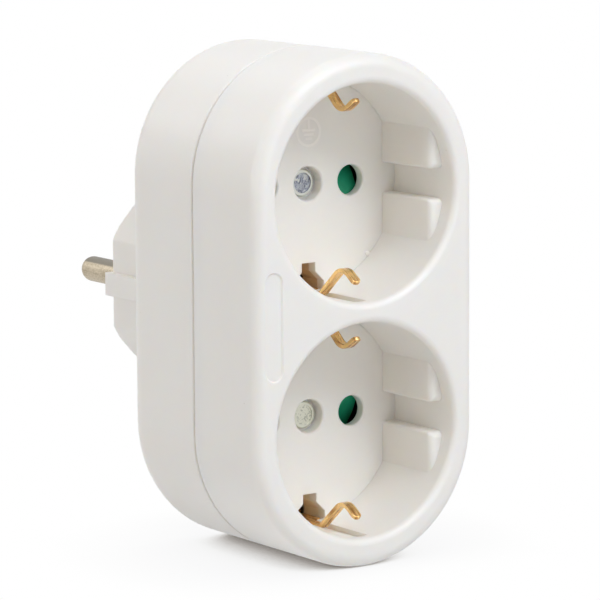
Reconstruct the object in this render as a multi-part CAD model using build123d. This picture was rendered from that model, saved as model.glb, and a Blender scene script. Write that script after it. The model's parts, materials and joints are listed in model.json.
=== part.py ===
from build123d import *
from math import asin, cos, degrees, hypot, radians, sin
import os

# A two-way plug-in adapter: two recessed earthed sockets in front, one plug with round pins behind.
# Millimetres. +Z is up, the sockets face -Y and the plug pins point along +Y.
# The origin lies midway between the plug pins, on the end face of the plug.

# Sockets
recess_diameter = 39.0
recess_depth = 18.2
socket_bridge = 3.6
rim_width = 1.2
rim_depth = 1.2
floor_wall = 2.0
pin_spacing = 19.0
pin_hole_diameter = 5.6
hole_edge = 0.25
rib_rise = 2.9
rib_slot = 5.5
rib_setback = 3.6
rib_front_radius = 1.2
rib_side_radius = 0.5

# Body round the sockets
side_land = 4.35
end_land = 5.3
body_depth = 41.6
seam_setback = 2.15
seam_edge_radius = 0.3
front_edge_radius = 2.4
rear_edge_radius = 4.0
wall = 2.4
rear_wall = 2.4
rim_lip = 0.8
lip_height = 1.8
seam_gap = 0.5
fit_gap = 0.1
cup_wall = 1.9
front_wall = 2.5
pocket_height = 22.0
pocket_start = 7.0
pocket_web = 1.3

# Sunk field beside the sockets on the front face
field_width = 3.3
field_height = 18.9
field_depth = 0.35
field_slope = 0.25
field_setback = 3.5
field_drop = 0.7

# Plug
plug_play = 0.95
plug_flat_depth = 1.9
plug_facet_depth = 0.12
plug_facet_angle = 42.0
plug_corner_radius = 1.0
plug_length = 16.7
plug_end_radius = 0.8
plug_end_wall = 3.5
plug_roof = 3.0
ridge_rise = 1.65
ridge_width = 4.2
ridge_edge_radius = 0.5
pin_block_wall = 1.0

# Plug pins
pin_diameter = 4.8
pin_length = 19.6
pin_tip_radius = 2.1
pin_neck_diameter = 5.2
pin_root_diameter = 6.4
pin_tail_diameter = 3.0
pin_tail_head_diameter = 4.2
pin_tail_head_height = 0.8
pin_fit = 0.05

# Brass strip, bus bars and fork contacts
strip = 0.8
bar_width = 7.6
bar_end = 0.6
fork_height = 8.0
fork_setback = 2.7
fork_throat = 4.6
fork_mouth = 7.2
fork_flare = 3.0
fork_bend_radius = 1.0
fork_curve_radius = 3.0

# Earth bracket with its two clips: depths from the front face, rises from the wall of the recess
clip_width = 1.8
clip_base_width = 5.6
clip_tip_depth = 3.3
clip_tip_rise = 3.1
clip_peak_depth = 7.24
clip_peak_rise = 5.8
clip_peak_radius = 2.9
clip_knee_height = 4.0
clip_knee_radius = 2.0
clip_run_sink = 0.25
clip_corner_radius = 1.2
clip_base_setback = 0.9
clip_taper = 0.8
clip_edge_radius = 0.2
clip_room = 0.2
clip_side_room = 0.6
clip_base_room = 0.6
clip_slot_rise = 5.1
clip_slot_neck = 1.7
clip_slot_shoulder = 1.8
clip_wall = 1.0
clip_groove_setback = 2.5

# Earth rail, plug earth strap and its rivet
rail_width = 6.0
rail_end = 3.4
arm_width = 7.6
arm_sink = 1.55
arm_end = 2.4
arm_bend_radius = 1.2
arm_groove_end = 2.0
earth_rivet_diameter = 3.0
earth_rivet_head = 5.2
earth_rivet_head_height = 0.8
earth_rivet_set_diameter = 4.2
earth_rivet_set_height = 0.5

# Cover rivets
centre_recess_diameter = 6.25
centre_recess_depth = 2.6
rivet_diameter = 3.5
rivet_set_diameter = 5.1
rivet_set_height = 0.85
rivet_lip = 0.7
rivet_dish = 0.25
rivet_head_diameter = 4.9
rivet_head_height = 0.9
rivet_sink = 1.0
rivet_sink_gap = 0.3
pillar_wall = 1.35

# Shutters and their springs
boss_wall = 0.875
shutter_fit = 0.08
shutter_play = 0.3
shutter_thickness = 4.5
shutter_neck_wall = 0.92
shutter_overlap = 0.25
shutter_margin = 0.6
shutter_tail = 12.0
shutter_ramp = 0.5
shutter_travel = 36.0
spring_wire = 0.4
spring_wire_sides = 8
spring_pitch = 0.5
spring_turns = 2
spring_leg = 7.0
spring_leg_spread = 67.0
spring_room = 0.5
spring_end_room = 0.25
spring_touch = 0.05
post_radius = 0.8
post_reach = 6.0
stop_width = 1.6
stop_margin = 0.3
stop_setback = 1.2
stop_gap = 0.6

# Outer sizes
socket_pitch = recess_diameter + socket_bridge
body_width = recess_diameter + 2 * side_land
body_height = socket_pitch + recess_diameter + 2 * end_land
plug_diameter = recess_diameter - 2 * plug_play
plug_flats = plug_diameter - 2 * plug_flat_depth
plug_facets = plug_diameter - 2 * plug_facet_depth

# Levels along Y, from the front to the pin tips
y_rear = -plug_length
y_front = y_rear - body_depth
y_floor = y_front + recess_depth
y_floor_back = y_floor + floor_wall
y_seam = y_floor + seam_setback
y_shutter = y_floor_back + shutter_play
y_shutter_back = y_shutter + shutter_thickness
y_bracket = y_shutter_back + shutter_play
y_rail = y_bracket + strip
y_strap = y_rail + strip
y_cavity = y_rear - rear_wall
y_bar = y_cavity - strip
y_recess = y_floor + centre_recess_depth

# Radii and places across Y
z_socket = socket_pitch / 2
x_pin = pin_spacing / 2
recess_radius = recess_diameter / 2
hole_radius = pin_hole_diameter / 2
plug_radius = plug_diameter / 2
rivet_hole_radius = rivet_diameter / 2 + fit_gap
pillar_radius = rivet_hole_radius + pillar_wall
boss_radius = centre_recess_diameter / 2 + boss_wall
clip_run_reach = recess_radius + clip_run_sink
clip_groove_reach = clip_run_reach + strip / 2 + clip_room
arm_reach = plug_radius - arm_sink
clear = 1.0

# The shutter from the boss outwards: neck, spring, ring and lobes
neck_radius = boss_radius + shutter_fit + shutter_neck_wall
spring_radius = neck_radius + spring_room + spring_wire / 2
ring_radius = spring_radius + spring_wire / 2 + spring_room
lobe_radius = x_pin + hole_radius + shutter_margin
cover_angle = degrees(asin((hole_radius + shutter_overlap) / x_pin))
lobe_tail_angle = cover_angle + shutter_tail


def front_plane(y):
    """Plane across Y whose local axes are X and Z and whose normal points to the front."""
    return Plane(origin=(0, y, 0), x_dir=(1, 0, 0), z_dir=(0, -1, 0))


def prism(sketch, y_low, y_high):
    """A sketch in X and Z, drawn out along Y."""
    return extrude(front_plane(y_high) * sketch, amount=y_high - y_low)


def rod(radius, y_low, y_high, x=0.0, z=0.0):
    """A round bar along Y."""
    return prism(Pos(x, z) * Circle(radius), y_low, y_high)


def block(x_range, y_range, z_range):
    """A box between two corners."""
    sizes = [high - low for low, high in (x_range, y_range, z_range)]
    middle = [(low + high) / 2 for low, high in (x_range, y_range, z_range)]
    return Pos(*middle) * Box(*sizes)


def outline(inset=0.0):
    """The round-ended outline of the body, moved inwards."""
    return SlotOverall(body_height - 2 * inset, body_width - 2 * inset, rotation=90)


def sector(inner, outer, start, end):
    """A piece of a flat ring between two angles, which count from X towards Z."""
    far = CenterArc((0, 0), outer, start, end - start)
    near = CenterArc((0, 0), inner, start, end - start)
    return make_face([far, near, Line(near @ 0, far @ 0), Line(near @ 1, far @ 1)])


def polar(radius, angle):
    """A point in X and Z."""
    return Vector(radius * cos(radians(angle)), radius * sin(radians(angle)))


def lower(shape):
    """The same shape for the lower socket, which mirrors the upper one."""
    return mirror(shape, about=Plane.XY)


def both(shape):
    """A shape of the upper socket and its mirror in the lower one."""
    return shape + lower(shape)


# Front cover


def recess_space():
    """The round recess of a socket, about the socket's axis, with a rim that curves out to the front face."""
    y_rim = y_front + rim_depth
    inner = recess_radius - clear
    outer = recess_radius + rim_width
    mouth = Pos((inner + outer) / 2, y_rim - clear) * Rectangle(outer - inner, 2 * clear)
    mouth -= Pos(outer, y_rim) * Ellipse(rim_width, rim_depth)
    return rod(recess_radius, y_front - clear, y_floor) + revolve(mouth, Axis.Y)


def guide_ribs():
    """The four ribs of a socket, about the socket's axis, with rounded edges and front ends."""
    rib = block(
        (recess_radius - rib_rise, recess_radius + clear),
        (y_front + rib_setback, y_floor + clear),
        (rib_slot / 2, recess_radius),
    )
    inner = rib.faces().sort_by(Axis.X)[0]
    slot_side = inner.edges().sort_by(Axis.Z)[0]
    rib = fillet(slot_side, rib_side_radius)
    front = rib.faces().sort_by(Axis.Y)[0]
    outer = front.edges().sort_by(Axis.X)[-1]
    far = front.edges().sort_by(Axis.Z)[-1]
    rib = fillet([edge for edge in front.edges() if edge not in (outer, far)], rib_front_radius)
    pair = rib + mirror(rib, about=Plane.XY)
    return pair + mirror(pair, about=Plane.YZ)


def clip_slot():
    """The floor slot that lets a clip pass: narrow for its peak, wide for its base."""
    start = recess_radius - clip_slot_rise
    neck = start + clip_slot_neck
    shoulder = neck + clip_slot_shoulder
    narrow = clip_width / 2 + clip_side_room
    wide = clip_base_width / 2 + clip_base_room
    half = [
        (narrow, start),
        (narrow, neck),
        (wide, shoulder),
        (wide, clip_groove_reach),
    ]
    other_half = [(-x, z) for x, z in reversed(half)]
    return make_face(Polyline(*half, *other_half, close=True))


def clip_space():
    """Room for the two clips of a socket in the floor and in the wall, about the socket's axis."""
    slot = prism(clip_slot(), y_floor, y_bracket)
    half_groove = clip_width / 2 + clip_side_room
    groove = block(
        (-half_groove, half_groove),
        (y_front + clip_groove_setback, y_floor_back),
        (recess_radius - clip_slot_rise, clip_groove_reach),
    )
    return both(slot + groove)


def spring_leg_line(angle, turn):
    """Ends of a straight spring leg that leaves the coil at an angle, turning with or against the clock."""
    root = polar(spring_radius, angle)
    along = polar(1, angle + 90 * turn)
    return root, root + along * spring_leg


def moving_leg_angle():
    """Where the moving leg leaves the coil, so that its tip lies on the edge of the left lobe."""
    tip_radius = hypot(spring_radius, spring_leg)
    edge = 180 - lobe_tail_angle
    tip = edge - degrees(asin((spring_wire / 2 + spring_touch) / tip_radius))
    return tip - degrees(asin(spring_leg / tip_radius))


def fixed_leg_angle():
    """Where the fixed leg leaves the coil, a set spread from the tip of the moving one."""
    swing = degrees(asin(spring_leg / hypot(spring_radius, spring_leg)))
    return moving_leg_angle() + 2 * swing - spring_leg_spread


def coil_height():
    """Length of the coil along its axis, between the middles of its end turns."""
    return spring_pitch * (spring_turns + (moving_leg_angle() - fixed_leg_angle()) / 360)


def spring_post():
    """Centre of the post that the fixed spring leg bears on."""
    root, tip = spring_leg_line(fixed_leg_angle(), -1)
    along = (tip - root).normalized()
    across = Vector(along.Y, -along.X)
    return root + along * post_reach + across * (post_radius + spring_wire / 2 + spring_touch)


def floor_fittings():
    """Behind the floor of a socket: the shutter's boss and stop, the spring's post and the clips' walls."""
    y_root = y_floor_back - floor_wall / 2
    boss = rod(boss_radius, y_root, y_bracket)
    closed = cover_angle + stop_gap
    opened = 180 - lobe_tail_angle - shutter_travel - stop_gap
    stop_radius = lobe_radius - stop_margin
    arc = sector(stop_radius - stop_width, stop_radius, closed, opened)
    stop = prism(arc, y_root, y_shutter_back - stop_setback)
    post_centre = spring_post()
    post = rod(post_radius, y_root, y_shutter_back, post_centre.X, post_centre.Y)
    walls = prism(offset(clip_slot(), clip_wall, kind=Kind.INTERSECTION), y_root, y_shutter_back)
    return boss + stop + post + both(walls)


def floor_hole(radius, y_end, x=0.0):
    """A round hole from the front of the floor with a small bevel round its mouth."""
    mouth = loft([
        front_plane(y_floor) * Pos(x, 0) * Circle(radius + hole_edge),
        front_plane(y_floor + hole_edge) * Pos(x, 0) * Circle(radius),
    ])
    return rod(radius, y_floor - clear, y_end, x) + mouth


def floor_holes():
    """Pin holes, the rivet's recess and its hole, about the socket's axis."""
    holes = floor_hole(centre_recess_diameter / 2, y_recess)
    holes += rod(rivet_hole_radius, y_floor, y_bracket + clear)
    for x in (-x_pin, x_pin):
        holes += floor_hole(hole_radius, y_floor_back + clear, x)
    return holes


def waist_pockets():
    """The two hollows behind the front face, between the sockets and the side walls."""
    end = body_width / 2 - wall - fit_gap - pocket_web
    panel = Pos((pocket_start + end) / 2, 0) * Rectangle(end - pocket_start, pocket_height)
    for z in (z_socket, -z_socket):
        panel -= Pos(0, z) * Circle(recess_radius + cup_wall)
    pocket = prism(panel, y_front + front_wall, y_floor_back + clear)
    return pocket + mirror(pocket, about=Plane.YZ)


def field_space():
    """The sunk field beside the sockets, with sloping sides."""
    place = Pos(field_setback - body_width / 2, -field_drop)
    base = SlotOverall(field_height, field_width, rotation=90)
    mouth = SlotOverall(field_height + 2 * field_slope, field_width + 2 * field_slope, rotation=90)
    sides = loft([front_plane(y_front) * place * mouth, front_plane(y_front + field_depth) * place * base])
    return sides + prism(place * mouth, y_front - clear, y_front)


def front_cover():
    y_lap = y_seam - lip_height - fit_gap
    cover = prism(outline(), y_front, y_lap)
    cover = fillet(cover.faces().sort_by(Axis.Y)[0].edges(), front_edge_radius)
    lip = prism(outline() - outline(rim_lip), y_lap, y_seam - seam_gap / 2)
    lip_end = lip.faces().sort_by(Axis.Y)[-1]
    cover += fillet(lip_end.outer_wire().edges(), seam_edge_radius)
    cover += prism(outline(wall + fit_gap), y_lap, y_floor_back)
    cover -= both(Pos(0, 0, z_socket) * recess_space())
    ribs = guide_ribs() & rod(recess_radius + clear / 2, y_front, y_floor + clear / 2)
    cover += both(Pos(0, 0, z_socket) * ribs)
    cover += both(Pos(0, 0, z_socket) * floor_fittings())
    cover -= both(Pos(0, 0, z_socket) * (clip_space() + floor_holes()))
    cover -= waist_pockets()
    return cover - field_space()


# Rear cover


def plug_body():
    """The plug's outside: a round bar with flats and facets, a guide ridge on each flat and rounded ends."""
    section = Circle(plug_radius) & Rectangle(plug_flats, plug_diameter)
    for angle in (-plug_facet_angle, plug_facet_angle):
        section &= Rot(0, 0, angle) * Rectangle(plug_facets, 2 * plug_diameter)
    section = fillet(section.vertices(), plug_corner_radius)
    core = prism(section, y_cavity, 0)
    core = fillet(core.faces().sort_by(Axis.Y)[-1].edges(), plug_end_radius)
    ridges = prism(Rectangle(plug_flats + 2 * ridge_rise, ridge_width), y_cavity, 0)
    end = ridges.faces().sort_by(Axis.Y)[-1]
    ridges = fillet(end.edges().filter_by(Axis.Z), ridge_edge_radius)
    return core + ridges


def plug_space():
    """The hollow of the plug, between the two blocks that hold the pins."""
    room = Circle(plug_radius - wall) & Rectangle(plug_flats - 2 * wall, 2 * (arm_reach - plug_roof))
    block_height = pin_root_diameter + 2 * pin_block_wall
    block_start = x_pin - block_height / 2
    block_width = plug_radius - block_start
    for side in (-1, 1):
        middle = side * (block_start + block_width / 2)
        room -= Pos(middle, 0) * Rectangle(block_width, block_height)
    return prism(room, y_cavity - clear, -plug_end_wall)


def pin_bores():
    """Stepped holes for the plug pins."""
    bores = []
    for x in (-x_pin, x_pin):
        bores.append(rod(pin_root_diameter / 2 + pin_fit, y_cavity - clear, -plug_end_wall, x))
        bores.append(rod(pin_neck_diameter / 2 + pin_fit, -plug_end_wall - clear, clear, x))
    return bores


def arm_space():
    """Slot in the rear wall and groove on the plug for the upper arm of the earth strap."""
    half = arm_width / 2 + fit_gap
    slot = block((-half, half), (y_strap - clear, y_rear), (arm_reach, arm_reach + strip + fit_gap))
    groove = block((-half, half), (y_rear, -arm_groove_end), (arm_reach, plug_radius + clear))
    return slot + groove


def rear_cover():
    y_edge = y_seam + seam_gap / 2
    cover = prism(outline(), y_edge, y_rear)
    cover = fillet(cover.faces().sort_by(Axis.Y)[-1].edges(), rear_edge_radius)
    cover = fillet(cover.faces().sort_by(Axis.Y)[0].edges(), seam_edge_radius)
    cover += prism(outline(rim_lip + fit_gap), y_seam - lip_height, y_edge)
    room = prism(outline(wall), y_seam - lip_height - clear, y_cavity)
    cover -= fillet(room.faces().sort_by(Axis.Y)[-1].edges(), rear_edge_radius - wall)
    cover += plug_body()
    cover += both(rod(pillar_radius, y_strap, y_cavity + rear_wall / 2, 0, z_socket))
    cover -= plug_space()
    for bore in pin_bores():
        cover -= bore
    cover -= both(arm_space())
    cover -= both(rod(rivet_hole_radius, y_strap - clear, y_rear + clear, 0, z_socket))
    sink_radius = rivet_head_diameter / 2 + rivet_sink_gap
    cover -= both(rod(sink_radius, y_rear - rivet_sink, y_rear + clear, 0, z_socket))
    return cover


# Metal parts


def plug_pin(x):
    """A turned pin: riveted tail, thick root, neck in the end wall and the free pin with its round tip."""
    pin = rod(pin_diameter / 2, 0, pin_length, x)
    pin = fillet(pin.faces().sort_by(Axis.Y)[-1].edges(), pin_tip_radius)
    pin += rod(pin_neck_diameter / 2, -plug_end_wall, 0, x)
    pin += rod(pin_root_diameter / 2, y_cavity, -plug_end_wall, x)
    pin += rod(pin_tail_diameter / 2, y_bar, y_cavity, x)
    pin += rod(pin_tail_head_diameter / 2, y_bar - pin_tail_head_height, y_bar, x)
    return pin


def fork():
    """A folded contact in X and Y: two leaves that close to a throat and open to a mouth."""
    base = bar_width / 2 - strip / 2
    throat = fork_throat / 2 + strip / 2
    mouth = fork_mouth / 2
    y_base = y_bar + strip / 2
    y_mouth = y_bracket + fork_setback
    y_throat = y_mouth + fork_flare
    leaf = [(base, y_base), (throat, y_throat), (mouth, y_mouth)]
    points = [(-x, y) for x, y in reversed(leaf)] + leaf
    radii = [fork_curve_radius, fork_bend_radius, fork_bend_radius, fork_curve_radius]
    shape = trace(FilletPolyline(*points, radius=radii), line_width=strip)
    return extrude(shape, amount=fork_height / 2, both=True)


def bus_bar(x):
    """A straight strip with a fork behind a pin hole of each socket and a hole for the plug pin's tail."""
    half_length = z_socket + fork_height / 2 + bar_end
    half_width = bar_width / 2 - fork_bend_radius - strip / 2
    bar = block((-half_width, half_width), (y_bar, y_cavity), (-half_length, half_length))
    bar += both(Pos(0, 0, z_socket) * fork())
    bar -= rod(pin_tail_diameter / 2 + pin_fit, y_bar - clear, y_cavity + clear)
    return Pos(x, 0, 0) * bar


def earth_bracket():
    """A strap behind the floor whose ends run forward, rise towards the axis and curl back as clips."""
    half = [
        (y_bracket + strip / 2, clip_run_reach),
        (y_floor - clip_knee_height, clip_run_reach),
        (y_front + clip_peak_depth, recess_radius - clip_peak_rise),
        (y_front + clip_tip_depth, recess_radius - clip_tip_rise),
    ]
    points = [(y, -z) for y, z in reversed(half)] + half
    bends = [clip_corner_radius, clip_knee_radius, clip_peak_radius]
    path = FilletPolyline(*points, radius=bends[::-1] + bends)
    side = extrude(Plane.YZ * trace(path, line_width=strip), amount=clip_base_width / 2, both=True)
    narrow = clip_width / 2
    wide = clip_base_width / 2
    y_wide = y_floor + clip_base_setback
    plan = Polyline(
        (-wide, y_bracket + strip + clear),
        (-wide, y_wide),
        (-narrow, y_wide - clip_taper),
        (-narrow, y_front + clip_tip_depth - strip),
        (narrow, y_front + clip_tip_depth - strip),
        (narrow, y_wide - clip_taper),
        (wide, y_wide),
        (wide, y_bracket + strip + clear),
        close=True,
    )
    bracket = side & extrude(make_face(plan), amount=clip_run_reach + clear, both=True)
    bracket -= rod(rivet_hole_radius, y_bracket - clear, y_rail + clear)
    corners = bracket.edges().filter_by_position(Axis.Y, y_front, y_front + clip_tip_depth + strip)
    tips = [edge for edge in corners if abs(edge.length - strip) < fit_gap]
    bracket = fillet(tips, narrow * 0.9)
    rims = [edge for edge in bracket.edges() if edge.bounding_box().max.Y < y_floor + clip_room]
    bracket = fillet(rims, clip_edge_radius)
    return Pos(0, 0, z_socket) * bracket


def earth_rivet_set(gap=0.0):
    """The countersunk front end of the earth rivet, or its seat in the rail."""
    narrow = earth_rivet_diameter / 2 + gap
    wide = earth_rivet_set_diameter / 2 + gap
    cone = loft([
        front_plane(y_rail + earth_rivet_set_height) * Circle(narrow),
        front_plane(y_rail) * Circle(wide),
    ])
    return cone


def earth_rail():
    """A straight strip with round ends that joins the two brackets."""
    length = 2 * (z_socket + rail_end)
    rail = prism(SlotOverall(length, rail_width, rotation=90), y_rail, y_strap)
    rail -= both(rod(rivet_hole_radius, y_rail - clear, y_strap + clear, 0, z_socket))
    rail -= rod(earth_rivet_diameter / 2 + pin_fit, y_rail - clear, y_strap + clear)
    return rail - earth_rivet_set(pin_fit)


def plug_earth_strap():
    """A U-shaped strap whose arms pass through the rear wall and lie in the grooves of the plug."""
    reach = arm_reach + strip / 2
    y_web = y_strap + strip / 2
    points = [(-arm_end, -reach), (y_web, -reach), (y_web, reach), (-arm_end, reach)]
    path = FilletPolyline(*points, radius=arm_bend_radius)
    strap = extrude(Plane.YZ * trace(path, line_width=strip), amount=arm_width / 2, both=True)
    return strap - rod(earth_rivet_diameter / 2 + pin_fit, y_strap - clear, y_strap + strip + clear)


def earth_rivet():
    """A short rivet with a head behind the strap and a flush end in the rail."""
    y_head = y_strap + strip
    rivet = rod(earth_rivet_diameter / 2, y_rail, y_head)
    rivet += rod(earth_rivet_head / 2, y_head, y_head + earth_rivet_head_height)
    return rivet + earth_rivet_set()


def cover_rivet():
    """A long rivet: a head sunk in the rear wall and a dished, set end in the socket's centre recess."""
    y_head = y_rear - rivet_sink
    rivet = rod(rivet_diameter / 2, y_recess, y_head)
    rivet += rod(rivet_head_diameter / 2, y_head, y_head + rivet_head_height)
    set_end = rod(rivet_set_diameter / 2, y_recess - rivet_set_height, y_recess)
    set_end = fillet(set_end.faces().sort_by(Axis.Y)[0].edges(), rivet_lip / 2)
    dish_radius = rivet_set_diameter / 2 - rivet_lip
    y_end = y_recess - rivet_set_height
    set_end -= rod(dish_radius, y_end - clear, y_end + rivet_dish)
    return Pos(0, 0, z_socket) * (rivet + set_end)


# Shutters and springs


def shutter():
    """A turning shutter on the boss: two lobes with ramps that the pins push aside, and a spring groove."""
    lobe = prism(sector(0.1, lobe_radius, -lobe_tail_angle, cover_angle), y_shutter, y_shutter_back)
    ramp_start = -hole_radius - shutter_overlap
    ramp_end = lobe_radius
    ramp_drop = (ramp_end - ramp_start) * shutter_ramp
    ramp = Polyline(
        (y_shutter, ramp_start),
        (y_shutter + ramp_drop, ramp_end),
        (y_shutter - clear, ramp_end),
        (y_shutter - clear, ramp_start),
        close=True,
    )
    cut = extrude(Plane.YZ * make_face(ramp), amount=lobe_radius + clear)
    cut -= rod(ring_radius, y_shutter - 2 * clear, y_shutter_back + lobe_radius)
    lobe -= cut
    body = rod(ring_radius, y_shutter, y_shutter_back)
    body += lobe + Rot(0, 180, 0) * lobe
    groove = Circle(ring_radius) - Circle(neck_radius)
    groove_depth = coil_height() + spring_wire + 2 * spring_end_room
    body -= prism(groove, y_shutter_back - groove_depth, y_shutter_back + clear)
    body -= rod(boss_radius + shutter_fit, y_shutter - clear, y_shutter_back + clear)
    return Pos(0, 0, z_socket) * body


def shutter_spring():
    """A torsion spring round the shutter's neck, its fixed leg on the post and its moving leg on a lobe."""
    coil = Helix(spring_pitch, coil_height(), spring_radius)
    coil = Rot(0, 0, fixed_leg_angle()) * coil
    fixed_leg = Line(coil @ 0 - (coil % 0) * spring_leg, coil @ 0)
    moving_leg = Line(coil @ 1, coil @ 1 + (coil % 1) * spring_leg)
    path = Wire([fixed_leg, coil, moving_leg])
    start = Plane(origin=path @ 0, z_dir=path % 0)
    wire = sweep(start * RegularPolygon(spring_wire / 2, spring_wire_sides), path=path)
    y_coil = y_shutter_back - spring_end_room - spring_wire / 2
    return Pos(0, 0, z_socket) * (front_plane(y_coil) * wire)


parts = {
    "front_cover": front_cover(),
    "rear_cover": rear_cover(),
    "plug_pin_left": plug_pin(-x_pin),
    "plug_pin_right": plug_pin(x_pin),
    "bus_bar_left": bus_bar(-x_pin),
    "bus_bar_right": bus_bar(x_pin),
    "earth_rail": earth_rail(),
    "plug_earth_strap": plug_earth_strap(),
    "earth_rivet": earth_rivet(),
}
for name, make in (
    ("earth_bracket", earth_bracket),
    ("cover_rivet", cover_rivet),
    ("shutter", shutter),
    ("shutter_spring", shutter_spring),
):
    shape = make()
    parts["upper_" + name] = shape
    parts["lower_" + name] = lower(shape)

os.makedirs("parts", exist_ok=True)
for name, shape in parts.items():
    export_step(shape, f"parts/{name}.step")
    print(f"{name}: {shape.volume:.2f} mm3")
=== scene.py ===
import json
from math import cos, pi, radians, sin

import bmesh
import bpy
from mathutils import Matrix, Vector


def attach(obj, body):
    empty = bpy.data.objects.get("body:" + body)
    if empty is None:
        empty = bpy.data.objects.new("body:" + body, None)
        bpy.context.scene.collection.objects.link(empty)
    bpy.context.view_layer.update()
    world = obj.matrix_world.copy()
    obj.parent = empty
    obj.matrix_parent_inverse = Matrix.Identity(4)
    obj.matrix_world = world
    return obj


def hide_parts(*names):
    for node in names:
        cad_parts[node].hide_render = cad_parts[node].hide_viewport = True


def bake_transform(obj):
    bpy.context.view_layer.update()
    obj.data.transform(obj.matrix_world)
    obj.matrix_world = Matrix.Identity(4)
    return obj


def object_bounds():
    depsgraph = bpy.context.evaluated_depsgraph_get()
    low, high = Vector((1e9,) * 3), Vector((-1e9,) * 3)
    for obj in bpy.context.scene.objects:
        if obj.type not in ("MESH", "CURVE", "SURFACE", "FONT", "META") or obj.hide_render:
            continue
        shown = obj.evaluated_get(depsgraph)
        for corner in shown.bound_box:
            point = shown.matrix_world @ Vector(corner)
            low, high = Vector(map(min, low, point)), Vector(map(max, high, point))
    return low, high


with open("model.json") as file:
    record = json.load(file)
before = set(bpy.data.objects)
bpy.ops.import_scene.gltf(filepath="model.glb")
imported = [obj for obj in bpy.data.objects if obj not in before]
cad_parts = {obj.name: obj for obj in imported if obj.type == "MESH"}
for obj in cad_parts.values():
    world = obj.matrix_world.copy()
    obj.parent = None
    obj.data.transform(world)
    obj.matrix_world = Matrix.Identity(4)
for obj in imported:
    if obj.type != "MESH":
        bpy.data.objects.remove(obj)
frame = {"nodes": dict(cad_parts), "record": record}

cad_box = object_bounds()
MM = 0.001

# Places read from the frame
low, high = cad_box
middle = (low + high) / 2
floor_level = low.z
joints = {joint["name"]: joint for joint in frame["record"]["behaviour"]["joints"]}
upper_axis = Vector(joints["upper_shutter_turn"]["pos_m"])
lower_axis = Vector(joints["lower_shutter_turn"]["pos_m"])
openings = {opening["name"]: opening["box_m"] for opening in frame["record"]["physics"]["openings"]}
socket_floor = openings["upper_socket"][1][1]

# The chambers behind the clips' slots, where shade is painted: a tall box, less a round about each
# shutter's axis
chamber_apart = 8 * MM
chamber_half_width = 7 * MM
chamber_front = socket_floor + 2.1 * MM
chamber_back = socket_floor + 6.6 * MM
chamber_wall = 2.7 * MM
chamber_low = (-chamber_half_width, chamber_front, low.z + chamber_wall)
chamber_high = (chamber_half_width, chamber_back, high.z - chamber_wall)
# The lowest chamber is the part of that box under the lower socket's round, where warm light reflected from
# the brass is painted
bottom_chamber_high = (chamber_half_width, chamber_back, lower_axis.z - chamber_apart)

# The closed inside behind the shutters, painted dark as unlit shade
inside_half_width = 22 * MM
inside_half_height = 30 * MM
inside_back = socket_floor + 21.6 * MM
inside_low = (-inside_half_width, chamber_back, -inside_half_height)
inside_high = (inside_half_width, inside_back, inside_half_height)

# The crumpled middle of a rivet end, and the heights between which a painted dark reflection sets in on a
# pin's top
rivet_dish_radius = 1.85 * MM
pin_band_low = 1.45 * MM
pin_band_high = 1.7 * MM

# Camera, taken from a fit of the photograph's edges to the object's sizes
camera_place = Vector((-0.387756, -0.583382, 0.104042))
camera_target = Vector((-0.000236, -0.0377, -0.000157))
camera_roll = radians(-0.330)
sensor_width = 36.0
focal_length = 223.9
nearest_seen = 0.01

# Colours, as linear light
white = (0.945, 0.910, 0.850, 1.0)
white_warm = (0.94, 0.902, 0.836, 1.0)
speck = (0.56, 0.50, 0.43, 1.0)
# Painted shade for the chambers behind the clips' slots
painted_chamber_shade = (0.78, 0.63, 0.45, 1.0)
# Painted warm light, reflected from the brass, in the lowest chamber
painted_warm_bounce = (1.0, 0.90, 0.73, 1.0)
# Painted shade: the closed inside drawn dark
unlit = (0.03, 0.026, 0.022, 1.0)
brass = (1.0, 0.67, 0.29, 1.0)
brass_dark = (0.48, 0.24, 0.075, 1.0)
brass_worn = (0.92, 0.595, 0.245, 1.0)
# Painted shade: brass darkened for the bus bars, seen only in the dark closed inside
brass_painted_shade = (0.16, 0.105, 0.045, 1.0)
brass_painted_shade_dark = (0.125, 0.08, 0.034, 1.0)
nickel = (0.56, 0.48, 0.355, 1.0)
nickel_dark = (0.36, 0.30, 0.21, 1.0)
# Painted dark reflection for the top of the pins
nickel_painted_reflection = (0.20, 0.18, 0.14, 1.0)
zinc = (0.38, 0.40, 0.455, 1.0)
zinc_dark = (0.13, 0.14, 0.17, 1.0)
zinc_lip = (0.66, 0.67, 0.62, 1.0)
zinc_pale = (0.68, 0.68, 0.58, 1.0)
zinc_pale_dark = (0.42, 0.43, 0.36, 1.0)
green = (0.018, 0.44, 0.225, 1.0)
green_dark = (0.013, 0.34, 0.17, 1.0)
steel = (0.56, 0.56, 0.57, 1.0)
steel_dark = (0.33, 0.33, 0.34, 1.0)
studio_white = (1.0, 1.0, 1.0, 1.0)
room_light = (1.0, 0.79, 0.52, 1.0)
front_light = (0.85, 0.90, 1.0)
side_light = (0.90, 0.915, 0.965)

# The range that most of a noise lies in, and the samples for softened edges and for the contact shadow
noise_low = 0.3
noise_high = 0.7
edge_samples = 6
contact_samples = 16


# Small steps in a material's tree
def new_material(name):
    """A material with its tree and its Principled shader."""
    made = bpy.data.materials.new(name)
    made.use_nodes = True
    tree = made.node_tree
    return made, tree, tree.nodes["Principled BSDF"]


def stretched_place(tree, scale):
    """The surface's own place in metres, times a scale along each axis."""
    place = tree.nodes.new("ShaderNodeTexCoord")
    mapping = tree.nodes.new("ShaderNodeMapping")
    mapping.inputs["Scale"].default_value = scale
    tree.links.new(place.outputs["Object"], mapping.inputs["Vector"])
    return mapping.outputs["Vector"]


def split_place(tree):
    """The surface's own place in metres, with X, Y and Z apart."""
    made = tree.nodes.new("ShaderNodeSeparateXYZ")
    tree.links.new(stretched_place(tree, (1.0, 1.0, 1.0)), made.inputs["Vector"])
    return made.outputs


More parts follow.
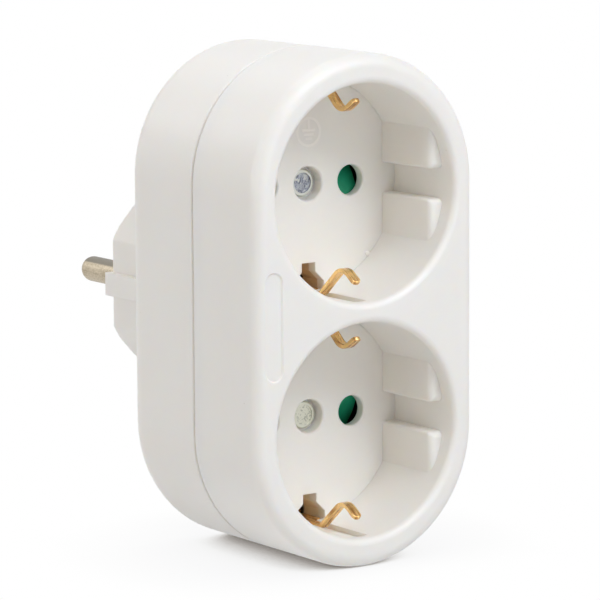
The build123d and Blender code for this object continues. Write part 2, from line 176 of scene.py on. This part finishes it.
def noise(tree, clouds, detail, distortion=0.0):
    """Cloudy noise with so many clouds a metre along each axis."""
    made = tree.nodes.new("ShaderNodeTexNoise")
    made.inputs["Scale"].default_value = 1.0
    made.inputs["Detail"].default_value = detail
    made.inputs["Distortion"].default_value = distortion
    tree.links.new(stretched_place(tree, clouds), made.inputs["Vector"])
    return made.outputs["Fac"]


def ramp(tree, source, stops):
    """Colours set at places along the source."""
    made = tree.nodes.new("ShaderNodeValToRGB")
    made.color_ramp.elements[0].position = stops[0][0]
    made.color_ramp.elements[0].color = stops[0][1]
    made.color_ramp.elements[1].position = stops[-1][0]
    made.color_ramp.elements[1].color = stops[-1][1]
    for place, colour in stops[1:-1]:
        made.color_ramp.elements.new(place).color = colour
    tree.links.new(source, made.inputs["Fac"])
    return made.outputs["Color"]


def span(tree, source, low_end, high_end):
    """A noise spread from its usual range to a range of values."""
    made = tree.nodes.new("ShaderNodeMapRange")
    made.inputs["From Min"].default_value = noise_low
    made.inputs["From Max"].default_value = noise_high
    made.inputs["To Min"].default_value = low_end
    made.inputs["To Max"].default_value = high_end
    tree.links.new(source, made.inputs["Value"])
    return made.outputs["Result"]


def math_node(tree, operation, first, second):
    """One sum of two values, each a socket or a number."""
    made = tree.nodes.new("ShaderNodeMath")
    made.operation = operation
    for source, socket in zip((first, second), made.inputs):
        if isinstance(source, float):
            socket.default_value = source
        else:
            tree.links.new(source, socket)
    return made.outputs["Value"]


def shared(tree, first, first_share, second, second_share):
    """A share of one value and a share of another, added."""
    first_part = math_node(tree, "MULTIPLY", first, first_share)
    second_part = math_node(tree, "MULTIPLY", second, second_share)
    return math_node(tree, "ADD", first_part, second_part)


def mix_colour(tree, share, first, second):
    """The first colour, with a share of the second over it."""
    made = tree.nodes.new("ShaderNodeMix")
    made.data_type = "RGBA"
    tree.links.new(share, made.inputs["Factor"])
    tree.links.new(first, made.inputs["A"])
    made.inputs["B"].default_value = second
    return made.outputs["Result"]


def off_axis(tree, axis):
    """How far the surface lies from an axis along Y through a place."""
    place = tree.nodes.new("ShaderNodeTexCoord")
    moved = tree.nodes.new("ShaderNodeVectorMath")
    moved.operation = "SUBTRACT"
    moved.inputs[1].default_value = axis
    tree.links.new(place.outputs["Object"], moved.inputs[0])
    flat = tree.nodes.new("ShaderNodeVectorMath")
    flat.operation = "MULTIPLY"
    flat.inputs[1].default_value = (1.0, 0.0, 1.0)
    tree.links.new(moved.outputs["Vector"], flat.inputs[0])
    made = tree.nodes.new("ShaderNodeVectorMath")
    made.operation = "LENGTH"
    tree.links.new(flat.outputs["Vector"], made.inputs[0])
    return made.outputs["Value"]


def relief(tree, shader, edge_radius, source, height):
    """Softened edges and a fine relief of that height."""
    edge = tree.nodes.new("ShaderNodeBevel")
    edge.samples = edge_samples
    edge.inputs["Radius"].default_value = edge_radius
    made = tree.nodes.new("ShaderNodeBump")
    made.inputs["Strength"].default_value = 1.0
    made.inputs["Distance"].default_value = height
    tree.links.new(source, made.inputs["Height"])
    tree.links.new(edge.outputs["Normal"], made.inputs["Normal"])
    tree.links.new(made.outputs["Normal"], shader.inputs["Normal"])


def specks(tree, spacing, radius, share):
    """1 inside rare small specks, 0 elsewhere."""
    cells = tree.nodes.new("ShaderNodeTexVoronoi")
    cells.inputs["Scale"].default_value = 1.0
    step = 1 / spacing
    tree.links.new(stretched_place(tree, (step, step, step)), cells.inputs["Vector"])
    near = math_node(tree, "LESS_THAN", cells.outputs["Distance"], radius / spacing)
    chosen = math_node(tree, "LESS_THAN", cells.outputs["Color"], share)
    return math_node(tree, "MULTIPLY", near, chosen)


def within(tree, low_corner, high_corner):
    """1 inside a box, 0 elsewhere."""
    place = split_place(tree)
    inside = None
    for axis, start, end in zip("XYZ", low_corner, high_corner):
        above = math_node(tree, "GREATER_THAN", place[axis], start)
        below = math_node(tree, "LESS_THAN", place[axis], end)
        both = math_node(tree, "MULTIPLY", above, below)
        inside = both if inside is None else math_node(tree, "MULTIPLY", inside, both)
    return inside


# The finishes
def moulded_plastic(name, edge_radius):
    """White moulding: faint clouds of tone, a fine skin, rare specks, painted shade in the chambers,
    painted warm reflected light in the lowest chamber, and an inside painted dark as unlit shade.
    """
    made, tree, shader = new_material(name)
    clouds = noise(tree, clouds=(90, 90, 90), detail=3.0)
    tone = ramp(tree, clouds, [(0.35, white), (0.7, white_warm)])
    dust = specks(tree, spacing=3.0 * MM, radius=0.08 * MM, share=0.2)
    tone = mix_colour(tree, dust, tone, speck)
    chamber = within(tree, chamber_low, chamber_high)
    for axis in (upper_axis, lower_axis):
        apart = math_node(tree, "GREATER_THAN", off_axis(tree, axis), chamber_apart)
        chamber = math_node(tree, "MULTIPLY", chamber, apart)
    # Painted shade in the chambers behind the clips' slots
    tone = mix_colour(tree, chamber, tone, painted_chamber_shade)
    # Painted warm light, reflected from the brass, in the lowest chamber
    tone = mix_colour(tree, within(tree, chamber_low, bottom_chamber_high), tone, painted_warm_bounce)
    # The closed inside painted dark as unlit shade
    tone = mix_colour(tree, within(tree, inside_low, inside_high), tone, unlit)
    tree.links.new(tone, shader.inputs["Base Color"])
    sheen = noise(tree, clouds=(300, 300, 300), detail=2.0)
    tree.links.new(span(tree, sheen, low_end=0.28, high_end=0.36), shader.inputs["Roughness"])
    shader.inputs["IOR"].default_value = 1.48
    shader.inputs["Subsurface Weight"].default_value = 0.5
    shader.inputs["Subsurface Radius"].default_value = (1.0, 0.8, 0.6)
    shader.inputs["Subsurface Scale"].default_value = 1.6 * MM
    skin = noise(tree, clouds=(2600, 2600, 2600), detail=2.0)
    relief(tree, shader, edge_radius, skin, height=0.004 * MM)
    return made


def strip_metal(name, bright, dark, streaks, metallic, shine, height):
    """Rolled or drawn metal with streaks along the way it was worked."""
    made, tree, shader = new_material(name)
    shader.inputs["Metallic"].default_value = metallic
    lines = noise(tree, streaks, detail=3.0, distortion=0.2)
    blotches = noise(tree, clouds=(420, 420, 420), detail=4.0)
    worked = shared(tree, lines, 0.7, blotches, 0.3)
    tree.links.new(ramp(tree, worked, [(0.38, dark), (0.52, bright)]), shader.inputs["Base Color"])
    tree.links.new(span(tree, worked, *shine), shader.inputs["Roughness"])
    relief(tree, shader, 0.12 * MM, lines, height)
    return made


def plated_pin(name):
    """Dull nickel plate: fine grain, scratches along the pin, and a painted dark reflection as a band on
    top.
    """
    made, tree, shader = new_material(name)
    shader.inputs["Metallic"].default_value = 0.8
    scratches = noise(tree, clouds=(2600, 160, 2600), detail=4.0)
    grain = noise(tree, clouds=(3400, 2000, 3400), detail=3.0)
    worn = shared(tree, scratches, 0.5, grain, 0.5)
    plate = ramp(tree, worn, [(0.36, nickel_dark), (0.6, nickel)])
    # A painted dark reflection over the top of the pin
    band = tree.nodes.new("ShaderNodeMapRange")
    band.inputs["From Min"].default_value = pin_band_low
    band.inputs["From Max"].default_value = pin_band_high
    tree.links.new(split_place(tree)["Z"], band.inputs["Value"])
    plate = mix_colour(tree, band.outputs["Result"], plate, nickel_painted_reflection)
    tree.links.new(plate, shader.inputs["Base Color"])
    tree.links.new(span(tree, worn, low_end=0.44, high_end=0.34), shader.inputs["Roughness"])
    relief(tree, shader, 0.12 * MM, worn, height=0.012 * MM)
    return made


def struck_metal(name, bright, dark, lip, axis, grain, distortion, height):
    """A rivet end after setting: crumpled, with dark hollows, inside a smoother lip."""
    made, tree, shader = new_material(name)
    shader.inputs["Metallic"].default_value = 0.8
    folds = noise(tree, (grain, grain, grain), 4.0, distortion)
    crumpled = ramp(tree, folds, [(0.36, dark), (0.47, bright), (0.55, bright), (0.63, lip)])
    outside = math_node(tree, "GREATER_THAN", off_axis(tree, axis), rivet_dish_radius)
    tree.links.new(mix_colour(tree, outside, crumpled, lip), shader.inputs["Base Color"])
    tree.links.new(span(tree, folds, low_end=0.5, high_end=0.34), shader.inputs["Roughness"])
    inside = math_node(tree, "SUBTRACT", 1.0, outside)
    relief(tree, shader, 0.1 * MM, math_node(tree, "MULTIPLY", folds, inside), height)
    return made


def coloured_plastic(name, bright, dark):
    """Coloured moulding with faint flow marks."""
    made, tree, shader = new_material(name)
    flow = noise(tree, clouds=(300, 120, 300), detail=4.0, distortion=0.8)
    tree.links.new(ramp(tree, flow, [(0.3, dark), (0.7, bright)]), shader.inputs["Base Color"])
    tree.links.new(span(tree, flow, low_end=0.34, high_end=0.44), shader.inputs["Roughness"])
    skin = noise(tree, clouds=(3200, 3200, 3200), detail=2.0)
    relief(tree, shader, 0.15 * MM, skin, height=0.004 * MM)
    return made


white_plastic = moulded_plastic("white_plastic", edge_radius=0.2 * MM)

# The sign and the pip are too thin for light to spread inside, so a faint glow stands in for that
sign_plastic = moulded_plastic("sign_plastic", edge_radius=0.02 * MM)
sign_shader = sign_plastic.node_tree.nodes["Principled BSDF"]
sign_shader.inputs["Subsurface Weight"].default_value = 0.0
sign_shader.inputs["Emission Color"].default_value = white
sign_shader.inputs["Emission Strength"].default_value = 0.05

# Streaks are counted in a metre along X, Y and Z, and the shine is a range of roughness
contact_brass = strip_metal(
    "contact_brass", brass, brass_dark,
    streaks=(1900, 140, 140), metallic=0.9, shine=(0.2, 0.34), height=0.06 * MM,
)
strap_brass = strip_metal(
    "strap_brass", brass, brass_worn,
    streaks=(1500, 60, 140), metallic=0.95, shine=(0.24, 0.34), height=0.01 * MM,
)
# The bus bars' brass is darkened as painted shade of the closed inside
bar_brass = strip_metal(
    "bar_brass", brass_painted_shade, brass_painted_shade_dark,
    streaks=(900, 900, 60), metallic=0.9, shine=(0.36, 0.46), height=0.01 * MM,
)
pin_metal = plated_pin("pin_nickel")
spring_metal = strip_metal(
    "spring_steel", steel, steel_dark,
    streaks=(2500, 2500, 2500), metallic=1.0, shine=(0.28, 0.4), height=0.004 * MM,
)
rivet_metal = strip_metal(
    "rivet_steel", zinc, zinc_dark,
    streaks=(900, 6000, 900), metallic=1.0, shine=(0.3, 0.42), height=0.004 * MM,
)
upper_rivet_metal = struck_metal(
    "rivet_zinc_blue", zinc, zinc_dark, zinc_lip, upper_axis,
    grain=760, distortion=3.2, height=0.2 * MM,
)
lower_rivet_metal = struck_metal(
    "rivet_zinc_pale", zinc_pale, zinc_pale_dark, zinc_pale, lower_axis,
    grain=2400, distortion=0.6, height=0.06 * MM,
)
shutter_plastic = coloured_plastic("shutter_green", green, green_dark)

finishes = {
    "front_cover": white_plastic,
    "rear_cover": white_plastic,
    "plug_pin_left": pin_metal,
    "plug_pin_right": pin_metal,
    "bus_bar_left": bar_brass,
    "bus_bar_right": bar_brass,
    "upper_earth_bracket": contact_brass,
    "lower_earth_bracket": contact_brass,
    "earth_rail": strap_brass,
    "plug_earth_strap": strap_brass,
    "earth_rivet": rivet_metal,
    "upper_cover_rivet": upper_rivet_metal,
    "lower_cover_rivet": lower_rivet_metal,
    "upper_shutter": shutter_plastic,
    "lower_shutter": shutter_plastic,
}


def dress(piece, finish):
    """Gives a piece one material all over."""
    piece.data.materials.clear()
    piece.data.materials.append(finish)


for node, finish in finishes.items():
    dress(frame["nodes"][node], finish)


def new_piece(name, mesh_maker, finish, smooth):
    """A new mesh piece with its finish."""
    mesh = bpy.data.meshes.new(name)
    shape = bmesh.new()
    mesh_maker(shape)
    bmesh.ops.recalc_face_normals(shape, faces=shape.faces)
    for face in shape.faces:
        face.smooth = smooth
    shape.to_mesh(mesh)
    shape.free()
    piece = bpy.data.objects.new(name, mesh)
    bpy.context.scene.collection.objects.link(piece)
    dress(piece, finish)
    return piece


# The springs: the housing holds their rear leg, and the shutter takes the front leg along; each is drawn as
# a still copy in spring metal
def twisting_spring(node):
    """A copy of the spring's coil and legs in spring metal, in place of the spring."""
    coil = frame["nodes"][node].copy()
    coil.data = coil.data.copy()
    coil.parent = None
    for key in list(coil.keys()):
        del coil[key]
    coil.name = node + "_coil"
    bpy.context.scene.collection.objects.link(coil)
    dress(coil, spring_metal)
    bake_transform(coil)
    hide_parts(node)


twisting_spring("upper_shutter_spring")
twisting_spring("lower_shutter_spring")


# The raised earth sign on the floor of the upper socket
mark_place = Vector((0.2 * MM, socket_floor, upper_axis.z + 9.4 * MM))
mark_radius = 2.5 * MM
mark_line = 0.26 * MM
mark_rise = 0.04 * MM
mark_sink = 0.06 * MM
mark_ring_steps = 64
# The bars: level above the sign's middle and half the length
mark_bars = ((0.3 * MM, 1.4 * MM), (-0.5 * MM, 1.05 * MM), (-1.25 * MM, 0.7 * MM))
# The ridge's section: shares of its half width and of its height
mark_section = ((1.0, 0.0), (0.85, 1.0), (-0.85, 1.0), (-1.0, 0.0))


def ridge(shape, path, closed):
    """A low flat ridge along a path of points on the floor."""
    rows = []
    count = len(path)
    for index, point in enumerate(path):
        before = path[index - 1] if closed or index else point
        after = path[(index + 1) % count] if closed or index < count - 1 else point
        along = (after - before).normalized()
        across = Vector((along.z, 0, -along.x)) * mark_line
        row = []
        for side, height in mark_section:
            offset = across * side + Vector((0, mark_sink - (mark_rise + mark_sink) * height, 0))
            row.append(shape.verts.new(point + offset))
        rows.append(row)
    pairs = zip(rows, rows[1:] + rows[:1]) if closed else zip(rows, rows[1:])
    for first, second in pairs:
        for corner in range(len(mark_section)):
            shape.faces.new((first[corner - 1], first[corner], second[corner], second[corner - 1]))
    if not closed:
        shape.faces.new(rows[0])
        shape.faces.new(rows[-1])


def earth_sign(shape):
    """A ring round a stem and three bars."""
    ring = []
    for step in range(mark_ring_steps):
        angle = 2 * pi * step / mark_ring_steps
        ring.append(mark_place + Vector((cos(angle), 0, sin(angle))) * mark_radius)
    ridge(shape, ring, True)
    stem_foot = mark_place + Vector((0, 0, mark_bars[0][0] + mark_line))
    stem_head = mark_place + Vector((0, 0, mark_radius - mark_line))
    ridge(shape, [stem_foot, stem_head], False)
    for level, half in mark_bars:
        left = mark_place + Vector((-half, 0, level))
        right = mark_place + Vector((half, 0, level))
        ridge(shape, [left, right], False)


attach(new_piece("earth_sign", earth_sign, sign_plastic, False), "housing")


# The small pip in the corner between the upper socket's floor and its wall
pip_place = Vector((13.2 * MM, socket_floor, upper_axis.z - 13.8 * MM))
pip_radius = 0.5 * MM
pip_rise = 0.32 * MM
pip_sink = 0.05 * MM
pip_levels = 6
pip_steps = 24


def moulding_pip(shape):
    """A low dome, closed behind."""
    rows = []
    for level in range(pip_levels):
        angle = pi / 2 * level / pip_levels
        reach = pip_radius * cos(angle)
        rise = pip_sink - (pip_rise + pip_sink) * sin(angle)
        row = []
        for step in range(pip_steps):
            turn = 2 * pi * step / pip_steps
            row.append(shape.verts.new(pip_place + Vector((reach * cos(turn), rise, reach * sin(turn)))))
        rows.append(row)
    for first, second in zip(rows, rows[1:]):
        for step in range(pip_steps):
            after = (step + 1) % pip_steps
            shape.faces.new((first[step], first[after], second[after], second[step]))
    shape.faces.new(rows[0])
    shape.faces.new(rows[-1])


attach(new_piece("moulding_pip", moulding_pip, sign_plastic, True), "housing")


# Floor, light and camera
floor_size = 4.0
floor_colour = (0.8, 0.8, 0.8, 1.0)
contact_reach = 30 * MM
# The floor's colour by how open it lies, from under the object to clear of it
contact_shadow = (
    (0.0, (0.11, 0.10, 0.09, 1.0)),
    (0.04, (0.23, 0.21, 0.19, 1.0)),
    (0.08, (0.39, 0.36, 0.335, 1.0)),
    (0.12, (0.56, 0.54, 0.52, 1.0)),
    (0.18, (0.77, 0.76, 0.75, 1.0)),
    (0.24, (0.88, 0.88, 0.875, 1.0)),
    (0.34, (0.93, 0.93, 0.93, 1.0)),
    (0.55, (0.95, 0.95, 0.955, 1.0)),
    (0.80, (0.98, 0.98, 0.98, 1.0)),
    (0.93, (1.0, 1.0, 1.0, 1.0)),
)
world_strength = 0.125
lamp_side = 0.50
lamp_distance = 0.95
lamp_target = Vector((0, -0.035, 0))
# Each lamp: azimuth from the front and elevation in degrees, watts and colour
lamps = {
    "front_high": (0, 50, 3.71, front_light),
    "front_low": (0, 12, 0.92, front_light),
    "front_right": (25, 35, 2.18, front_light),
    "front_left": (-45, 55, 0.65, side_light),
    "left": (-80, 15, 1.07, side_light),
    "back_left_low": (-120, 10, 1.39, side_light),
    "back_left": (-140, 35, 1.28, side_light),
    "back_high": (180, 55, 1.23, side_light),
    "overhead": (0, 88, 0.84, front_light),
}


def mix_shaders(tree, share, first, second):
    """The first shader, with a share of the second in its place."""
    made = tree.nodes.new("ShaderNodeMixShader")
    tree.links.new(share, made.inputs["Fac"])
    tree.links.new(first, made.inputs[1])
    tree.links.new(second, made.inputs[2])
    return made.outputs["Shader"]


def seen_rays(tree):
    """1 for rays that show the studio, straight, mirrored or through glass, 0 for those that only light."""
    path = tree.nodes.new("ShaderNodeLightPath")
    seen = math_node(tree, "MAXIMUM", path.outputs["Is Camera Ray"], path.outputs["Is Glossy Ray"])
    return math_node(tree, "MAXIMUM", seen, path.outputs["Is Transmission Ray"])


def floor_material():
    """White to the eye, with a soft shadow where the object comes near."""
    made, tree, shader = new_material("studio_floor")
    tree.nodes.remove(shader)
    plain = tree.nodes.new("ShaderNodeBsdfDiffuse")
    plain.inputs["Color"].default_value = floor_colour
    mirrored = tree.nodes.new("ShaderNodeEmission")
    mirrored.inputs["Color"].default_value = studio_white
    near = tree.nodes.new("ShaderNodeAmbientOcclusion")
    near.samples = contact_samples
    near.inputs["Distance"].default_value = contact_reach
    seen = tree.nodes.new("ShaderNodeEmission")
    tree.links.new(ramp(tree, near.outputs["AO"], contact_shadow), seen.inputs["Color"])
    path = tree.nodes.new("ShaderNodeLightPath")
    straight = path.outputs["Is Camera Ray"]
    shown = mix_shaders(tree, straight, mirrored.outputs["Emission"], seen.outputs["Emission"])
    surface = mix_shaders(tree, seen_rays(tree), plain.outputs["BSDF"], shown)
    tree.links.new(surface, tree.nodes["Material Output"].inputs["Surface"])
    return made


def make_floor():
    """A level sheet under the lowest point of the object."""
    mesh = bpy.data.meshes.new("studio_floor")
    shape = bmesh.new()
    bmesh.ops.create_grid(shape, x_segments=2, y_segments=2, size=floor_size / 2)
    bmesh.ops.translate(shape, verts=shape.verts, vec=(middle.x, middle.y, floor_level))
    shape.to_mesh(mesh)
    shape.free()
    mesh.materials.append(floor_material())
    sheet = bpy.data.objects.new("studio_floor", mesh)
    bpy.context.scene.collection.objects.link(sheet)


def make_world():
    """Faint warm light from the room all round, white to the eye."""
    world = bpy.data.worlds.new("studio")
    world.use_nodes = True
    tree = world.node_tree
    light = tree.nodes["Background"]
    light.inputs["Color"].default_value = room_light
    light.inputs["Strength"].default_value = world_strength
    backdrop = tree.nodes.new("ShaderNodeBackground")
    backdrop.inputs["Color"].default_value = studio_white
    backdrop.inputs["Strength"].default_value = 1.0
    room = mix_shaders(tree, seen_rays(tree), light.outputs["Background"], backdrop.outputs["Background"])
    tree.links.new(room, tree.nodes["World Output"].inputs["Surface"])
    bpy.context.scene.world = world


def make_lamp(name, azimuth, elevation, watts, colour):
    """A square soft box turned to the object."""
    light = bpy.data.lights.new(name, "AREA")
    light.size = lamp_side
    light.energy = watts
    light.color = colour
    lamp = bpy.data.objects.new(name, light)
    level = lamp_distance * cos(radians(elevation))
    rise = lamp_distance * sin(radians(elevation))
    place = Vector((level * sin(radians(azimuth)), -level * cos(radians(azimuth)), rise))
    lamp.location = lamp_target + place
    lamp.rotation_euler = place.to_track_quat("Z", "Y").to_euler()
    bpy.context.scene.collection.objects.link(lamp)


def make_camera():
    """The photograph's view."""
    lens = bpy.data.cameras.new("photo_view")
    lens.sensor_width = sensor_width
    lens.lens = focal_length
    lens.clip_start = nearest_seen
    view = bpy.data.objects.new("photo_view", lens)
    ahead = (camera_target - camera_place).normalized()
    right = ahead.cross(Vector((0, 0, 1))).normalized()
    up = right.cross(ahead)
    turned_right = right * cos(camera_roll) + up * sin(camera_roll)
    turned_up = up * cos(camera_roll) - right * sin(camera_roll)
    turn = Matrix((turned_right, turned_up, -ahead)).transposed().to_4x4()
    view.matrix_world = Matrix.Translation(camera_place) @ turn
    bpy.context.scene.collection.objects.link(view)
    bpy.context.scene.camera = view


make_floor()
make_world()
for lamp_name, settings in lamps.items():
    make_lamp(lamp_name, *settings)
make_camera()
bpy.context.scene.view_settings.view_transform = "Standard"
